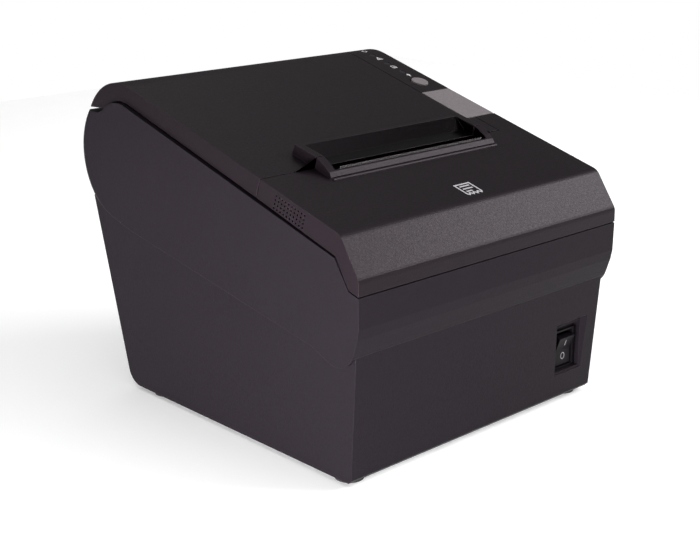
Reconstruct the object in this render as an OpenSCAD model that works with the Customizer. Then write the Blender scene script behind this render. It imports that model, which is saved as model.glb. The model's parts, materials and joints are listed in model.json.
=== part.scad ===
// Thermal receipt printer for 80 mm paper: drop-in roll, hinged paper cover, cutter and tear bar.
// Layout coordinates: X across, Y from the front face to the rear, Z up from the casing's bottom edge.
// printer_frame() moves that layout so that the origin is at the bottom centre of the whole printer.

/* [Casing] */
// Width of the casing at the seam under the covers
body_w = 145; // [144:0.5:147]
// Wall thickness of the lower casing
wall = 2.4; // [2:0.1:2.6]
// Wall thickness of the covers
cover_wall = 2.2; // [2:0.1:2.4]
// Gap between the covers and the casing
seam_gap = 0.6; // [0.4:0.1:0.8]
// Height of the rubber feet
foot_h = 2; // [1.5:0.5:2.5]

/* [Covers] */
// Height of the front seam above the casing's bottom edge
front_seam_z = 73; // [72.5:0.5:73.5]
// Height at which the front bevel starts
bevel_z = 78.5; // [78:0.5:79]
// Slope of the covers towards the front, in degrees
slope = 15.7; // [15.5:0.1:16]
// Distance along the slope from the front crease to the seam between the covers
cover_seam_s = 43.5; // [43.2:0.1:43.7]
// Distance along the slope from the front crease to the start of the rear roll
roll_s = 127.6; // [127:0.2:128]
// Radius of the rear roll of the covers
roll_r = 23.3; // [23:0.1:23.5]
// X position of the seam between the paper cover and the control panel
panel_x = 53.8; // [53.6:0.1:54]

/* [Paper exit] */
// Width of the hood round the paper exit
hood_w = 91.2; // [90.6:0.2:91.6]
// Height of the hood above the covers
hood_h = 4; // [3.6:0.2:4.4]
// Distance between the teeth of the tear bar
tooth_pitch = 1; // [1:0.25:1.5]

/* [Controls] */
// Diameter of the feed button
feed_d = 7.8; // [7:0.1:8]
// Width of the power rocker
rocker_w = 9.6; // [9:0.2:9.8]

/* [Mechanism] */
// Width of the paper
paper_w = 80; // [79:0.5:80]
// Inner radius of the paper bucket
bucket_r = 41.5; // [41:0.1:41.7]
// Radius of the platen's rubber sleeve
platen_r = 6.5; // [6.3:0.1:6.5]
// Module of the feed gears
feed_module = 0.6; // [0.6:0.1:0.6]
// Module of the cutter gears
cutter_module = 0.8; // [0.8:0.1:0.8]

/* [Hidden] */
$fn = 48;

crease = [9.7, 93.1];
half_w = body_w / 2;
lower_inset = 1.9;
upper_lean = 0.0152;
band_front = 7.9;
band_rear = 6.6;
band_end_s = 118;
tail_angle = 29;
bulge_c = [139.8, 97.5];
bulge_r = 27;
ledge_z = 115.3;
depth = bulge_c[0] + bulge_r;

function arc(c, r, a0, a1, n) =
    [for (i = [0:n]) let (a = a0 + (a1 - a0) * i / n) c + r * [cos(a), sin(a)]];
function heading(a, b) = atan2(b[1] - a[1], b[0] - a[0]);
function on_slope(s, h) =
    crease + s * [cos(slope), sin(slope)] + h * [-sin(slope), cos(slope)];
function band(s) = band_front + (band_rear - band_front) * s / band_end_s;

roll_c = on_slope(roll_s, -roll_r);
roll_top = 90 + slope;
tail_z = roll_c[1] + roll_r * sin(tail_angle);

// Lower edge of the covers from the front face to the rear; the casing's edge lies seam_gap below it
seam_front = [[0, front_seam_z], [4.8, front_seam_z + 1.5], [11.6, front_seam_z + 12]];
seam_spiral = [for (i = [0:8]) let (a = roll_top - (roll_top - 54) * i / 8)
    roll_c + (roll_r - band_rear - 1.6 * i / 8) * [cos(a), sin(a)]];
seam_rear = [[151, tail_z + 0.5]];
function lowered(points) = [for (p = points) p + seam_gap * [0.5, -0.92]];

// Arc that rounds the corner at b between the lines to a and to c
function fillet(a, b, c, r, n) = let (
    u = (a - b) / norm(a - b),
    v = (c - b) / norm(c - b),
    half = acos(u * v) / 2,
    o = b + r / sin(half) * (u + v) / norm(u + v),
    from = heading(o, b + r / tan(half) * u),
    turn = sign(cross(b - a, c - b)) * (180 - 2 * half)
) arc(o, r, from, from + turn, n);
function reversed(points) = [for (i = [len(points) - 1:-1:0]) points[i]];

// Hinge of the paper cover, and the way the platen leaves its seat as the cover starts to open
hinge = [157.3, 110.3];
hinge_pin_r = 1.5;
running = 0.05;
platen = on_slope(50.5, -24);
platen_lever = platen - hinge;
lift = [platen_lever[1], -platen_lever[0]] / norm(platen_lever);

// Feed gear train on the left of the mechanism
platen_teeth = 28;
idler_teeth = 48;
feed_pinion_teeth = 14;
mesh_play = 0.06;
function centre_distance(m, a, b) = m * (a + b) / 2 + mesh_play;
idler = platen - centre_distance(feed_module, platen_teeth, idler_teeth) * lift;
motor_angle = 215;
motor = idler + centre_distance(feed_module, idler_teeth, feed_pinion_teeth)
    * [cos(motor_angle), sin(motor_angle)];
function mesh_phase(teeth_a, phase_a, teeth_b, towards) =
    towards + 180 + 180 / teeth_b - (phase_a - towards) * teeth_a / teeth_b;
idler_phase = heading(idler, platen);
platen_phase = mesh_phase(idler_teeth, idler_phase, platen_teeth, heading(idler, platen));
motor_phase = mesh_phase(idler_teeth, idler_phase, feed_pinion_teeth, motor_angle);
gear_x = -53.6;
gear_t = 4;

// Cutter drive, laid out on the slope as [x, s]
cutter_gear_teeth = 20;
cutter_pinion_teeth = 10;
rack_x = 10;
rack_pitch = PI * cutter_module;
cutter_gear_at = [rack_x + cutter_module * cutter_gear_teeth / 2 + mesh_play, 22];
cutter_pinion_at = cutter_gear_at
    + [centre_distance(cutter_module, cutter_gear_teeth, cutter_pinion_teeth), 0];
cutter_pinion_phase = mesh_phase(cutter_gear_teeth, 180, cutter_pinion_teeth, 0);

// Print head: it leans on the platen along head_dir, and its face runs along head_up
head_angle = 180 + slope + 15;
head_dir = [cos(head_angle), sin(head_angle)];
head_up = [head_dir[1], -head_dir[0]];
head_gap = 0.1;
head_at = platen + (platen_r + head_gap) * head_dir;
head_pivot_at = head_at - 10 * head_up + 3 * head_dir;
head_half_w = 40.5;

latch = [69.2, 65.5];
latch_r = 2;
roll_centre = [112, 70];
plate_x = 46;
plate_t = 1.5;
switch_x = 54;
switch_z = 20.4;
port_y = 131;
base_posts = [[-60, 30], [60, 30], [-60, 108], [60, 108]];
frame_posts = [[-52, 38], [52, 38], [-52, 66], [52, 66]];
feet_y = [15, 126];
feet_x = 62;

plastic = [0.22, 0.21, 0.23];
panel_grey = [0.52, 0.50, 0.51];
steel = [0.72, 0.73, 0.75];
rubber = [0.08, 0.08, 0.08];
board_green = [0.10, 0.35, 0.20];

// ---- helpers ----

module printer_frame() {
    translate([0, -depth / 2, foot_h]) children();
}

module on_cover() {
    translate([0, crease[0], crease[1]]) rotate([slope, 0, 0]) children();
}

// Extrudes a [y, z] outline across the width
module across(x0, x1) {
    translate([x0, 0, 0]) rotate([90, 0, 90]) linear_extrude(x1 - x0) children();
}

// A rod along X through a [y, z] point
module rod(at, r, x0, x1) {
    translate([x0, at[0], at[1]]) rotate([0, 90, 0]) cylinder(r = r, h = x1 - x0);
}

module block(low, high) {
    translate(low) cube(high - low);
}

// Keeps what lies between the two side faces, which lean by lean_per_mm for each mm of height
module between_sides(half, z0, lean_per_mm, bottom, top) {
    lo = half + lean_per_mm * (bottom - z0);
    hi = half + lean_per_mm * (top - z0);
    intersection() {
        children();
        translate([0, 200, 0]) rotate([90, 0, 0]) linear_extrude(300)
            polygon([[-lo, bottom], [lo, bottom], [hi, top], [-hi, top]]);
    }
}

module mirrored_x() {
    children();
    mirror([1, 0, 0]) children();
}

// ---- gears with involute teeth ----

pressure_angle = 20;
gear_backlash = 0.12;
function involute_deg(a) = (tan(a) - a * PI / 180) * 180 / PI;
function flank(base_r, half_base, r) = half_base - involute_deg(acos(min(1, base_r / r)));
function gear_points(m, z, phase) = let (
    pitch_r = m * z / 2,
    base_r = pitch_r * cos(pressure_angle),
    root_r = pitch_r - 1.2 * m,
    tip_r = pitch_r + 0.95 * m,
    start_r = max(base_r, root_r + 0.05),
    half_base = 90 / z - gear_backlash / pitch_r / 2 * 180 / PI + involute_deg(pressure_angle),
    radii = [start_r, (start_r + tip_r) / 2, tip_r],
    turns = [for (r = radii) flank(base_r, half_base, r)],
    side = concat([[root_r, turns[0]]], [for (i = [0:2]) [radii[i], turns[i]]])
) [for (k = [0:z - 1]) let (a = phase + k * 360 / z)
    each concat(
        [for (p = side) p[0] * [cos(a - p[1]), sin(a - p[1])]],
        [for (i = [3:-1:0]) side[i][0] * [cos(a + side[i][1]), sin(a + side[i][1])]])];

module gear_blank(m, z, phase, t, bore) {
    difference() {
        linear_extrude(t) polygon(gear_points(m, z, phase));
        translate([0, 0, -1]) cylinder(r = bore, h = t + 2);
    }
}

// A gear whose axle lies along X; the outline is drawn in [y, z]
module side_gear(at, m, z, phase, bore) {
    translate([gear_x, at[0], at[1]]) rotate([90, 0, 90]) gear_blank(m, z, phase, gear_t, bore);
}

// ---- casing ----

chin_c = [11.7, 54];
chin_r = 9.6;
module body_upper_outline() {
    polygon(concat(
        [[0, front_seam_z - seam_gap], [0, 61], [0.7, 57]],
        arc(chin_c, chin_r, 195, 294, 9),
        [[24.5, 49], [133, 69.3], [144, 72.2], [151, 75], [157, 78.6]],
        arc(bulge_c, bulge_r, -38.5, asin((ledge_z - bulge_c[1]) / bulge_r), 16),
        [[151.3, ledge_z]],
        reversed(lowered(seam_spiral)),
        reversed(lowered([seam_front[1], seam_front[2]]))));
}

module body_lower_outline() {
    polygon(concat(
        [[3.4, 56], [3.4, 48.8], [6.3, 1.5], [7.8, 0]],
        arc([135.6, 7.6], 7.6, 270, 347, 7),
        [[160.9, 79], [150, 84], [30, 62]]));
}

// The rear bulge ends in a rounding at each side, which fades along its underside
bulge_rounding = 4.2;
bulge_end_c = bulge_c - [2.5, 0];
bulge_end_r = bulge_r + 2.5;
bulge_end_x = half_w + upper_lean * (bulge_end_c[1] - front_seam_z) + 0.06;
module bulge_end() {
    translate([bulge_end_x, bulge_end_c[0], bulge_end_c[1]])
        rotate([0, 90 + atan(upper_lean), 0]) rotate_extrude() polygon(concat(
            [[0, 0], [0, -12], [bulge_end_r, -12]],
            arc([bulge_end_r - bulge_rounding, -bulge_rounding], bulge_rounding, 0, 90, 6)));
}

module body_upper() {
    intersection() {
        between_sides(half_w, front_seam_z, upper_lean, 30, 125) across(-80, 80) body_upper_outline();
        union() {
            block([-80, -5, 30], [80, bulge_c[0], 130]);
            block([-80, 130, ledge_z], [80, 160, 130]);
            block([6 - half_w, 130, 30], [half_w - 6, 170, 130]);
            mirrored_x() bulge_end();
        }
    }
}

module body_lower() {
    between_sides(half_w - lower_inset, front_seam_z, 0.0176, -1, 90)
        across(-80, 80) body_lower_outline();
}

module body_cavity() {
    between_sides(half_w - wall, front_seam_z, upper_lean, 30, 125) across(-80, 80) {
        offset(delta = -wall) body_upper_outline();
        polygon([[wall, 62], [wall, 130], [149, 130], [149, ledge_z - 2], [148, 100]]);
    }
    between_sides(half_w - lower_inset - wall, front_seam_z, 0.0176, -1, 90) across(-80, 80) {
        offset(delta = -wall) body_lower_outline();
        polygon([[9, 20], [9, -2], [130.9, -2], [130.9, 20]]);
    }
}

arm_x = [-60, 46];
arm_w = 4;
arm_side_gap = 0.3;
lug_w = 3.7;
module hinge_lugs() {
    intersection() {
        body_upper();
        for (x = arm_x) {
            for (start = [x - arm_side_gap - lug_w, x + arm_w + arm_side_gap]) {
                rod(hinge, 2.6, start, start + lug_w);
                block([start, hinge[0] - 2.6, hinge[1]], [start + lug_w, 162, ledge_z - 0.5]);
            }
        }
    }
}

// The switch sits at the bottom of a pocket: a tapered mouth, then a straight well
mouth_y = 5;
well_mouth_y = [6.4, 8.2];
well_y = 9.2;
mouth = [[44.4, 63], [10.6, 33.4]];
well = [[46, 61.6], [11.9, 31.4]];
module switch_pocket_walls() {
    block([mouth[0][0] - 1, 5.8, mouth[1][0] - 1], [mouth[0][1] + 1, well_y + 2, mouth[1][1] + 1]);
}

module pocket_taper(i) {
    back = well_mouth_y[i];
    front = mouth[i] + mouth_y / (back - mouth_y) * (mouth[i] - well[i]);
    polygon([[front[0], 0], [front[1], 0], [well[i][1], back], [well[i][0], back]]);
}

module switch_pocket() {
    intersection() {
        linear_extrude(60) pocket_taper(0);
        multmatrix([[0, 0, 1, 0], [0, 1, 0, 0], [1, 0, 0, 0]]) linear_extrude(100) pocket_taper(1);
    }
    block([well[0][0], 6, well[1][0]], [well[0][1], well_y, well[1][1]]);
}

module port_recess_walls() {
    intersection() {
        body_lower();
        block([-60, port_y, 0], [60, 152, 31]);
    }
}

module body_case() {
    color(plastic) printer_frame() difference() {
        union() {
            difference() {
                union() {
                    body_upper();
                    body_lower();
                }
                body_cavity();
            }
            hinge_lugs();
            switch_pocket_walls();
            port_recess_walls();
            for (p = base_posts) {
                translate([p[0], p[1], 2.3]) cylinder(r = 3.4, h = 16);
                block([min(p[0], sign(p[0]) * 68), p[1] - 1, 2.3], [max(p[0], sign(p[0]) * 68), p[1] + 1, 18.3]);
            }
        }
        for (p = base_posts) translate([p[0], p[1], 0]) cylinder(r = 1.55, h = 15);
        for (x = arm_x) {
            block([x - arm_side_gap, 140, 105], [x + arm_w + arm_side_gap, 163, 120]);
            rod(hinge, hinge_pin_r + 0.02, x - 3.6, x + arm_w + 3.6);
        }
        switch_pocket();
        block([switch_x - 6, 5, switch_z - 8.3], [switch_x + 6, 14, switch_z + 8.3]);
        block([-58, port_y - 1, 4.5], [58, 160, 29]);
        block([-58, port_y - 1, 2.3], [58, port_y + 1.6, 29]);
    }
}

module base_plate() {
    color(steel) printer_frame() difference() {
        union() {
            block([-66.2, 9.4, 0], [66.2, 130.6, 2]);
            for (p = frame_posts) translate([p[0], p[1], 2]) cylinder(r = 3.6, h = 12);
            for (x = [-50, 50], y = [82, 122]) translate([x, y, 2]) cylinder(r = 3, h = 5.4);
        }
        for (p = base_posts) translate([p[0], p[1], -1]) cylinder(r = 1.6, h = 4);
        for (p = frame_posts) translate([p[0], p[1], 4]) cylinder(r = 1.55, h = 11);
        for (i = [-4:4]) block([i * 6 - 1.2, 96, -1], [i * 6 + 1.2, 112, 3]);
        block([-30, 40, -1], [30, 80, 0.5]);
    }
}

// ---- covers ----

cover_lean = -0.0253;
module cover_sides() {
    between_sides(half_w, front_seam_z, cover_lean, 60, 140) children();
}

tab_x = 59;
tab_s = 57.8;
half_gap = 0.25;
module front_outline(end_s) {
    polygon(concat(
        [seam_front[0]],
        fillet(seam_front[0], [0, bevel_z], crease, 4, 3),
        fillet([0, bevel_z], crease, on_slope(end_s, 0), 5, 5),
        [on_slope(end_s, 0), on_slope(end_s, -band(end_s))],
        [seam_front[2], seam_front[1]]));
}

module front_cover_void(end_s) {
    offset(delta = -wall) polygon([[0, 50], [0, bevel_z], crease, on_slope(end_s, 0), on_slope(end_s, -60)]);
}

// Sound holes over the buzzer, in the left side band of the front cover
module sound_holes() {
    for (row = [0:3], col = [0:9]) let (at = on_slope(18 + col * 1.75, -1.9 - row * 1.6))
        rod(at, 0.4, -75, -60);
}

hood_x = hood_w / 2;
hood_in = hood_x - 3.4;
lip_s = 32.3;
// The rim under the front cover's rear edge, open where the platen's gear swings past
rim_x = [[-69.5, -55.5], [-47.6, -hood_in], [hood_in, 69.5]];
module hood_front() {
    on_cover() {
        mirrored_x() across(hood_in, hood_x)
            polygon([[34.1, -1], [34.1, 0.5], [35.8, 2], [38, 3], [40.5, 3.8],
                [cover_seam_s - half_gap, hood_h + 0.5], [cover_seam_s - half_gap, -1]]);
        across(-hood_x, hood_x)
            polygon([[lip_s, -1], [lip_s, 0.3], [32.7, 0.7], [33.3, 0.7], [33.4, -0.1], [34, -0.1],
                [34.1, 0.5], [35.6, 2], [36.2, 2.1], [36.3, 0.3], [37.6, 0.3], [37.6, -1]]);
        across(-hood_in, hood_in)
            polygon([[37.2, -0.9], [37.2, 0.3], [38.8, -0.9], [40.4, -8], [38.6, -8], [36.6, -2.2]]);
    }
}

module front_cover() {
    color(plastic) printer_frame() {
        difference() {
            union() {
                cover_sides() difference() {
                    union() {
                        across(-80, 80) front_outline(cover_seam_s - half_gap);
                        across(tab_x + half_gap, 80) front_outline(tab_s - half_gap);
                    }
                    across(-69.2, 69.2) front_cover_void(cover_seam_s + 30);
                }
                on_cover() for (x = rim_x) block([x[0], 41, -7], [x[1], cover_seam_s - half_gap, -1]);
            }
            on_cover() block([-hood_in, 37.2, -10], [hood_in, 60, 10]);
            sound_holes();
        }
        hood_front();
    }
}

teeth_count = floor(paper_w / tooth_pitch) - 1;
module tear_bar() {
    bar_w = teeth_count * tooth_pitch / 2;
    color(steel) printer_frame() on_cover() translate([0, 36.9, 0]) rotate([90, 0, 0]) linear_extrude(0.5)
        polygon(concat(
            [[-bar_w, 0.35]],
            [for (i = [0:teeth_count - 1]) each [
                [-bar_w + (i + 0.22) * tooth_pitch, 1.8],
                [-bar_w + (i + 0.5) * tooth_pitch, 3.1],
                [-bar_w + (i + 0.78) * tooth_pitch, 1.8]]],
            [[bar_w, 0.35]]));
}

function cover_top(start_s) = concat([on_slope(start_s, 0)], arc(roll_c, roll_r, roll_top, tail_angle, 18));
module cover_outline(start_s) {
    polygon(concat(cover_top(start_s), seam_rear, reversed(seam_spiral),
        [on_slope(start_s, -band(start_s))]));
}

module cover_void(start_s, t) {
    polygon(concat([on_slope(start_s, -t)], arc(roll_c, roll_r - t, roll_top, tail_angle - 8, 18),
        [[150, 90], on_slope(start_s, -40)]));
}

lid_s = cover_seam_s + half_gap;
module hood_rear() {
    on_cover() {
        mirrored_x() across(hood_in, hood_x)
            polygon([[lid_s, -1], [lid_s, hood_h + 0.5], [55.8, hood_h], [56.5, -1]]);
        across(-hood_in - 0.5, hood_in + 0.5)
            polygon([[56.5, -1], [55.8, hood_h], [54.6, hood_h + 0.05], [48.5, 0.6], [48.5, -cover_wall],
                [56.5, -cover_wall]]);
        across(-hood_in + 0.35, hood_in - 0.35)
            polygon([[48.6, 0.6], [42.4, 0.9], [42.4, -0.9], [46, -cover_wall], [48.6, -cover_wall]]);
    }
}

module paper_cover() {
    right = panel_x - half_gap;
    color(plastic) printer_frame() {
        difference() {
            cover_sides() union() {
                difference() {
                    across(-80, right) cover_outline(lid_s);
                    across(-68.9, right - 2) cover_void(lid_s + 2, cover_wall);
                }
                across(right - 1, tab_x - half_gap) polygon([on_slope(lid_s, 0), on_slope(tab_s - 0.7, 0),
                    on_slope(tab_s - 0.7, -cover_wall), on_slope(lid_s, -cover_wall)]);
            }
            on_cover() block([-hood_in - 0.4, 40, -12], [hood_in + 0.4, 56, 12]);
        }
        hood_rear();
    }
}

module cover_liner() {
    color(plastic * 0.8) printer_frame() {
        difference() {
            union() {
                on_cover() {
                    block([-66, 57, -4.2], [50.5, 121, -cover_wall]);
                    for (x = [-50, -25, 0, 25]) block([x, 63, -5.6], [x + 1.6, 118, -4]);
                    across(-42, 42)
                        polygon([[45.6, -12.2], [45.6, -8], [49, -2.8], [61.2, -2.8], [61.2, -5], [53, -8.5], [53, -12.2]]);
                }
                mirrored_x() across(40.9, 42.9) polygon([on_slope(47, -8), on_slope(59.4, -3.4), on_slope(59.4, -14),
                    on_slope(56.6, -25), on_slope(53.6, -29.2), on_slope(47.4, -29.2), on_slope(44.6, -26),
                    on_slope(44.6, -20), on_slope(46, -12)]);
                for (x = arm_x) {
                    across(x, x + arm_w) polygon(concat([on_slope(112, -3.2)],
                        arc(roll_c, roll_r - cover_wall - 0.4, roll_top, 34, 12),
                        arc(roll_c, 16.4, 22, roll_top, 10), [on_slope(112, -6.5)]));
                    across(x, x + arm_w) polygon([roll_c + 20 * [cos(42), sin(42)], hinge + [1.5, 2],
                        hinge + [0.6, -2.4], roll_c + 17.2 * [cos(30), sin(30)]]);
                    rod(hinge, 2.6, x, x + arm_w);
                }
            }
            for (x = arm_x) rod(hinge, hinge_pin_r + running, x - 1, x + arm_w + 1);
            rod(platen, 4.02, -50, 50);
        }
    }
}

module hinge_pins() {
    color(steel) printer_frame()
        for (x = arm_x) rod(hinge, hinge_pin_r, x - 3.5, x + arm_w + 3.5);
}

// ---- control panel ----

lens_s = [126.4, 116.6, 106.6];
feed_at = [62.6, 95.1];
control_x = 63;
button_s = [58.1, 85.4];
module control_panel() {
    color(plastic) printer_frame() {
        difference() {
            cover_sides() difference() {
                across(panel_x + half_gap, 80) cover_outline(button_s[1] + 0.3);
                across(panel_x + 2, 68.9) cover_void(button_s[1] + 2.3, cover_wall);
            }
            on_cover() {
                for (s = lens_s) translate([control_x, s, -10]) cylinder(r = 1.55, h = 12);
                translate([feed_at[0], feed_at[1], -10]) cylinder(r = feed_d / 2 + 0.3, h = 12);
            }
        }
        on_cover() block([68.4, button_s[0] + 0.2, -8.6], [69.8, button_s[1] + 2, -4.8]);
    }
}

module lens(index) {
    color([0.08, 0.08, 0.09]) printer_frame() on_cover()
        translate([control_x, lens_s[index], -4.6]) cylinder(r = 1.5, h = 4.5);
}
module power_lens() { lens(0); }
module error_lens() { lens(1); }
module paper_lens() { lens(2); }

module feed_button() {
    color(panel_grey) printer_frame() on_cover() translate([feed_at[0], feed_at[1], 0]) {
        translate([0, 0, -1.8]) cylinder(r = feed_d / 2, h = 2.4);
        translate([0, 0, -3.4]) cylinder(r = 1.6, h = 2);
    }
}

module feed_switch() {
    color([0.1, 0.1, 0.1]) printer_frame() on_cover() translate([feed_at[0], feed_at[1], 0]) difference() {
        block([-3, -3, -6], [3, 3, -3.1]);
        translate([0, 0, -4.8]) cylinder(r = 1.8, h = 3);
    }
}

module panel_board() {
    color(board_green) printer_frame() on_cover() {
        block([56.5, 88.5, -7.4], [68, 129, -6]);
        for (s = lens_s) block([control_x - 1.2, s - 1, -6], [control_x + 1.2, s + 1, -4.6]);
        for (s = [90, 126]) block([57, s - 1, -6], [59, s + 1, -cover_wall]);
    }
}

module release_button() {
    low = panel_x + half_gap + 0.1;
    color(panel_grey) printer_frame() {
        cover_sides() intersection() {
            on_cover() difference() {
                block([low, button_s[0], -5.2], [80, button_s[1], 0]);
                block([low + 1.6, button_s[0] + 1.6, -8], [70.2, button_s[1] - 1.6, -2.2]);
                block([68, button_s[0] - 1, -8], [70.2, button_s[1] + 1, -2.2]);
            }
            across(50, 80) polygon([on_slope(40, 2), on_slope(100, 2), on_slope(100, -8), on_slope(40, -8)]);
        }
        on_cover() translate([60.5, 71.5, -19.4]) cylinder(r = 2.2, h = 18);
    }
}

// ---- latch ----

module latch_shaft() {
    color(steel) printer_frame() rod(latch, latch_r, -plate_x - plate_t + 0.2, 63);
}

module latch_hook(x0) {
    difference() {
        union() {
            rod(latch, 4, x0, x0 + 1.6);
            across(x0, x0 + 1.6) polygon([[66.6, 68], [72.6, 64], [75.4, 83], [72.6, 90.4], [68, 91.2],
                [69.6, 86.4], [70.2, 80.5]]);
        }
        rod(latch, latch_r + 0.01, x0 - 1, x0 + 3);
    }
}
module latch_hook_left() { color(steel) printer_frame() latch_hook(-44.7); }
module latch_hook_right() { color(steel) printer_frame() latch_hook(43.1); }

crank_tip = on_slope(71.5, -22.3);
module release_crank() {
    color(steel) printer_frame() difference() {
        union() {
            rod(latch, 4.2, 58.5, 62.5);
            rod(crank_tip, 2.4, 58.5, 62.5);
            across(59, 62) polygon([latch + [-3.4, 1.8], latch + [3.6, -1], crank_tip + [2, -1], crank_tip + [-2, 1]]);
        }
        rod(latch, latch_r + 0.01, 55, 66);
    }
}

// ---- paper path ----

module paper_bucket() {
    side = paper_w / 2 + 1.7;
    outer_r = bucket_r + 1.4;
    trough_start = 200;
    trough_end = 384;
    color(plastic * 0.9) printer_frame() {
        across(-side, side) polygon(concat(arc(roll_centre, outer_r, trough_start, trough_end, 36),
            arc(roll_centre, bucket_r, trough_end, trough_start, 36)));
        mirrored_x() across(side, side + 1.6) polygon(concat(
            arc(roll_centre, outer_r, trough_start, trough_end, 36),
            [[146, 104], [126, 110.5], [84, 99], [78, 82]]));
        mirrored_x() for (y = [92, 132]) block([side + 1.6, y, 52], [67.2, y + 8, 54]);
    }
}

// The platen's bushes drop into notches that widen upwards, because the cover swings them out on an arc
notch_r = 4.08;
notch_side = [lift[1], -lift[0]];
module frame_side() {
    difference() {
        polygon([[31, 14], [74, 14], [82, 56], [76, 72], on_slope(58.5, -22), on_slope(57, -14.5),
            on_slope(43.2, -14.5), on_slope(42.6, -19.2), on_slope(9, -19.2), [31, 50]]);
        translate(platen) circle(r = notch_r);
        polygon([platen - notch_r * notch_side, platen + notch_r * notch_side,
            platen + (notch_r + 0.1) * notch_side + 2.5 * lift, platen + (notch_r + 3.2) * notch_side + 20 * lift,
            platen - (notch_r + 0.6) * notch_side + 20 * lift]);
        translate(latch) circle(r = latch_r + running);
        translate(head_pivot_at) circle(r = 1.52);
    }
}

module mech_frame() {
    spring_seat = head_at + 12 * head_dir;
    color(steel) printer_frame() {
        difference() {
            union() {
                across(-plate_x - plate_t, -plate_x) frame_side();
                across(plate_x, plate_x + plate_t) frame_side();
            }
            rod(idler, 2.02, -60, -40);
            rod(motor, 5, -60, -40);
        }
        mirrored_x() difference() {
            block([plate_x + plate_t - 0.1, 31, 14], [56.2, 74, 15.5]);
            for (p = frame_posts) translate([abs(p[0]), p[1], 10]) cylinder(r = 1.6, h = 8);
        }
        block([-plate_x, 31, 15.5], [plate_x, 32.5, 48]);
        across(-plate_x, plate_x) polygon([spring_seat - 5 * head_up, spring_seat + 5 * head_up,
            spring_seat + 5 * head_up + 1.2 * head_dir, spring_seat - 5 * head_up + 1.2 * head_dir]);
    }
}

module head_heatsink() {
    color([0.6, 0.61, 0.63]) printer_frame() difference() {
        across(-head_half_w, head_half_w) polygon([head_at + head_dir + 4 * head_up,
            head_at + 6 * head_dir + 4 * head_up, head_at + 6 * head_dir - 12.5 * head_up,
            head_at + head_dir - 12.5 * head_up]);
        rod(head_pivot_at, 1.5 + running, -50, 50);
        for (i = [-5:5]) across(i * 7 - 1.2, i * 7 + 1.2) polygon([head_at + 4.4 * head_dir - 7 * head_up,
            head_at + 7 * head_dir - 7 * head_up, head_at + 7 * head_dir - 5 * head_up,
            head_at + 4.4 * head_dir - 5 * head_up]);
    }
}

module head_element() {
    color([0.85, 0.82, 0.75]) printer_frame() across(-head_half_w, head_half_w)
        polygon([head_at + 3.5 * head_up, head_at + head_dir + 3.5 * head_up,
            head_at + head_dir - 5.5 * head_up, head_at - 5.5 * head_up]);
}

module head_pivot() {
    color(steel) printer_frame() rod(head_pivot_at, 1.5, -plate_x - plate_t, plate_x + plate_t);
}

spring_turns = 4;
spring_steps = 12;
spring_sides = 5;
spring_l = 5.7;
spring_r = 2.4;
wire_r = 0.35;
module spring() {
    rings = spring_turns * spring_steps;
    points = [for (i = [0:rings]) let (a = i * 360 / spring_steps, z = wire_r + (spring_l - 2 * wire_r) * i / rings)
        for (k = [0:spring_sides - 1]) let (b = k * 360 / spring_sides, r = spring_r + wire_r * cos(b))
            [r * cos(a), r * sin(a), z + wire_r * sin(b)]];
    sides = [for (i = [0:rings - 1], k = [0:spring_sides - 1]) let (
        a = i * spring_sides + k, b = i * spring_sides + (k + 1) % spring_sides)
        each [[a, a + spring_sides, b], [b, a + spring_sides, b + spring_sides]]];
    first = [for (k = [0:spring_sides - 1]) k];
    last = [for (k = [spring_sides - 1:-1:0]) rings * spring_sides + k];
    polyhedron(points, concat(sides, [first, last]));
}

module head_springs() {
    seat = head_at + 6.15 * head_dir;
    color(steel) printer_frame() for (x = [-18, 18])
        translate([x, seat[0], seat[1]]) rotate([head_angle - 90, 0, 0]) spring();
}

module platen_shaft() {
    color(steel) printer_frame() rod(platen, 2, gear_x - 0.6, 48.6);
}

module platen_sleeve() {
    color(rubber) printer_frame() difference() {
        rod(platen, platen_r, -paper_w / 2 - 0.3, paper_w / 2 + 0.3);
        rod(platen, 2.01, -60, 60);
    }
}

module platen_bush() {
    difference() {
        union() {
            rod(platen, 4, 40.9, 48.2);
            rod(platen, 5, 44.95, 45.85);
        }
        rod(platen, 2 + running, 40, 50);
    }
}
module platen_bush_right() { color([0.9, 0.9, 0.86]) printer_frame() platen_bush(); }
module platen_bush_left() { color([0.9, 0.9, 0.86]) printer_frame() mirror([1, 0, 0]) platen_bush(); }

module platen_gear() {
    color([0.9, 0.9, 0.86]) printer_frame() side_gear(platen, feed_module, platen_teeth, platen_phase, 2.01);
}
module idler_gear() {
    color([0.9, 0.9, 0.86]) printer_frame() side_gear(idler, feed_module, idler_teeth, idler_phase, 2 + running);
}
module motor_pinion() {
    color([0.8, 0.7, 0.4]) printer_frame() {
        side_gear(motor, feed_module, feed_pinion_teeth, motor_phase, 1.01);
        rod(motor, 1, gear_x - 0.4, -44.5);
    }
}
module idler_axle() {
    color(steel) printer_frame() {
        rod(idler, 2, -54.2, -plate_x);
        rod(idler, 2.8, -54.8, -54);
        rod(idler, 3.2, -49.3, -plate_x - plate_t);
    }
}
module feed_motor() {
    color([0.35, 0.36, 0.38]) printer_frame() difference() {
        union() {
            rod(motor, 14, -45.9, -27);
            rod(motor, 4.8, -48.4, -45.9);
        }
        rod(motor, 1 + running, -49, -44);
    }
}

// ---- cutter ----

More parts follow.
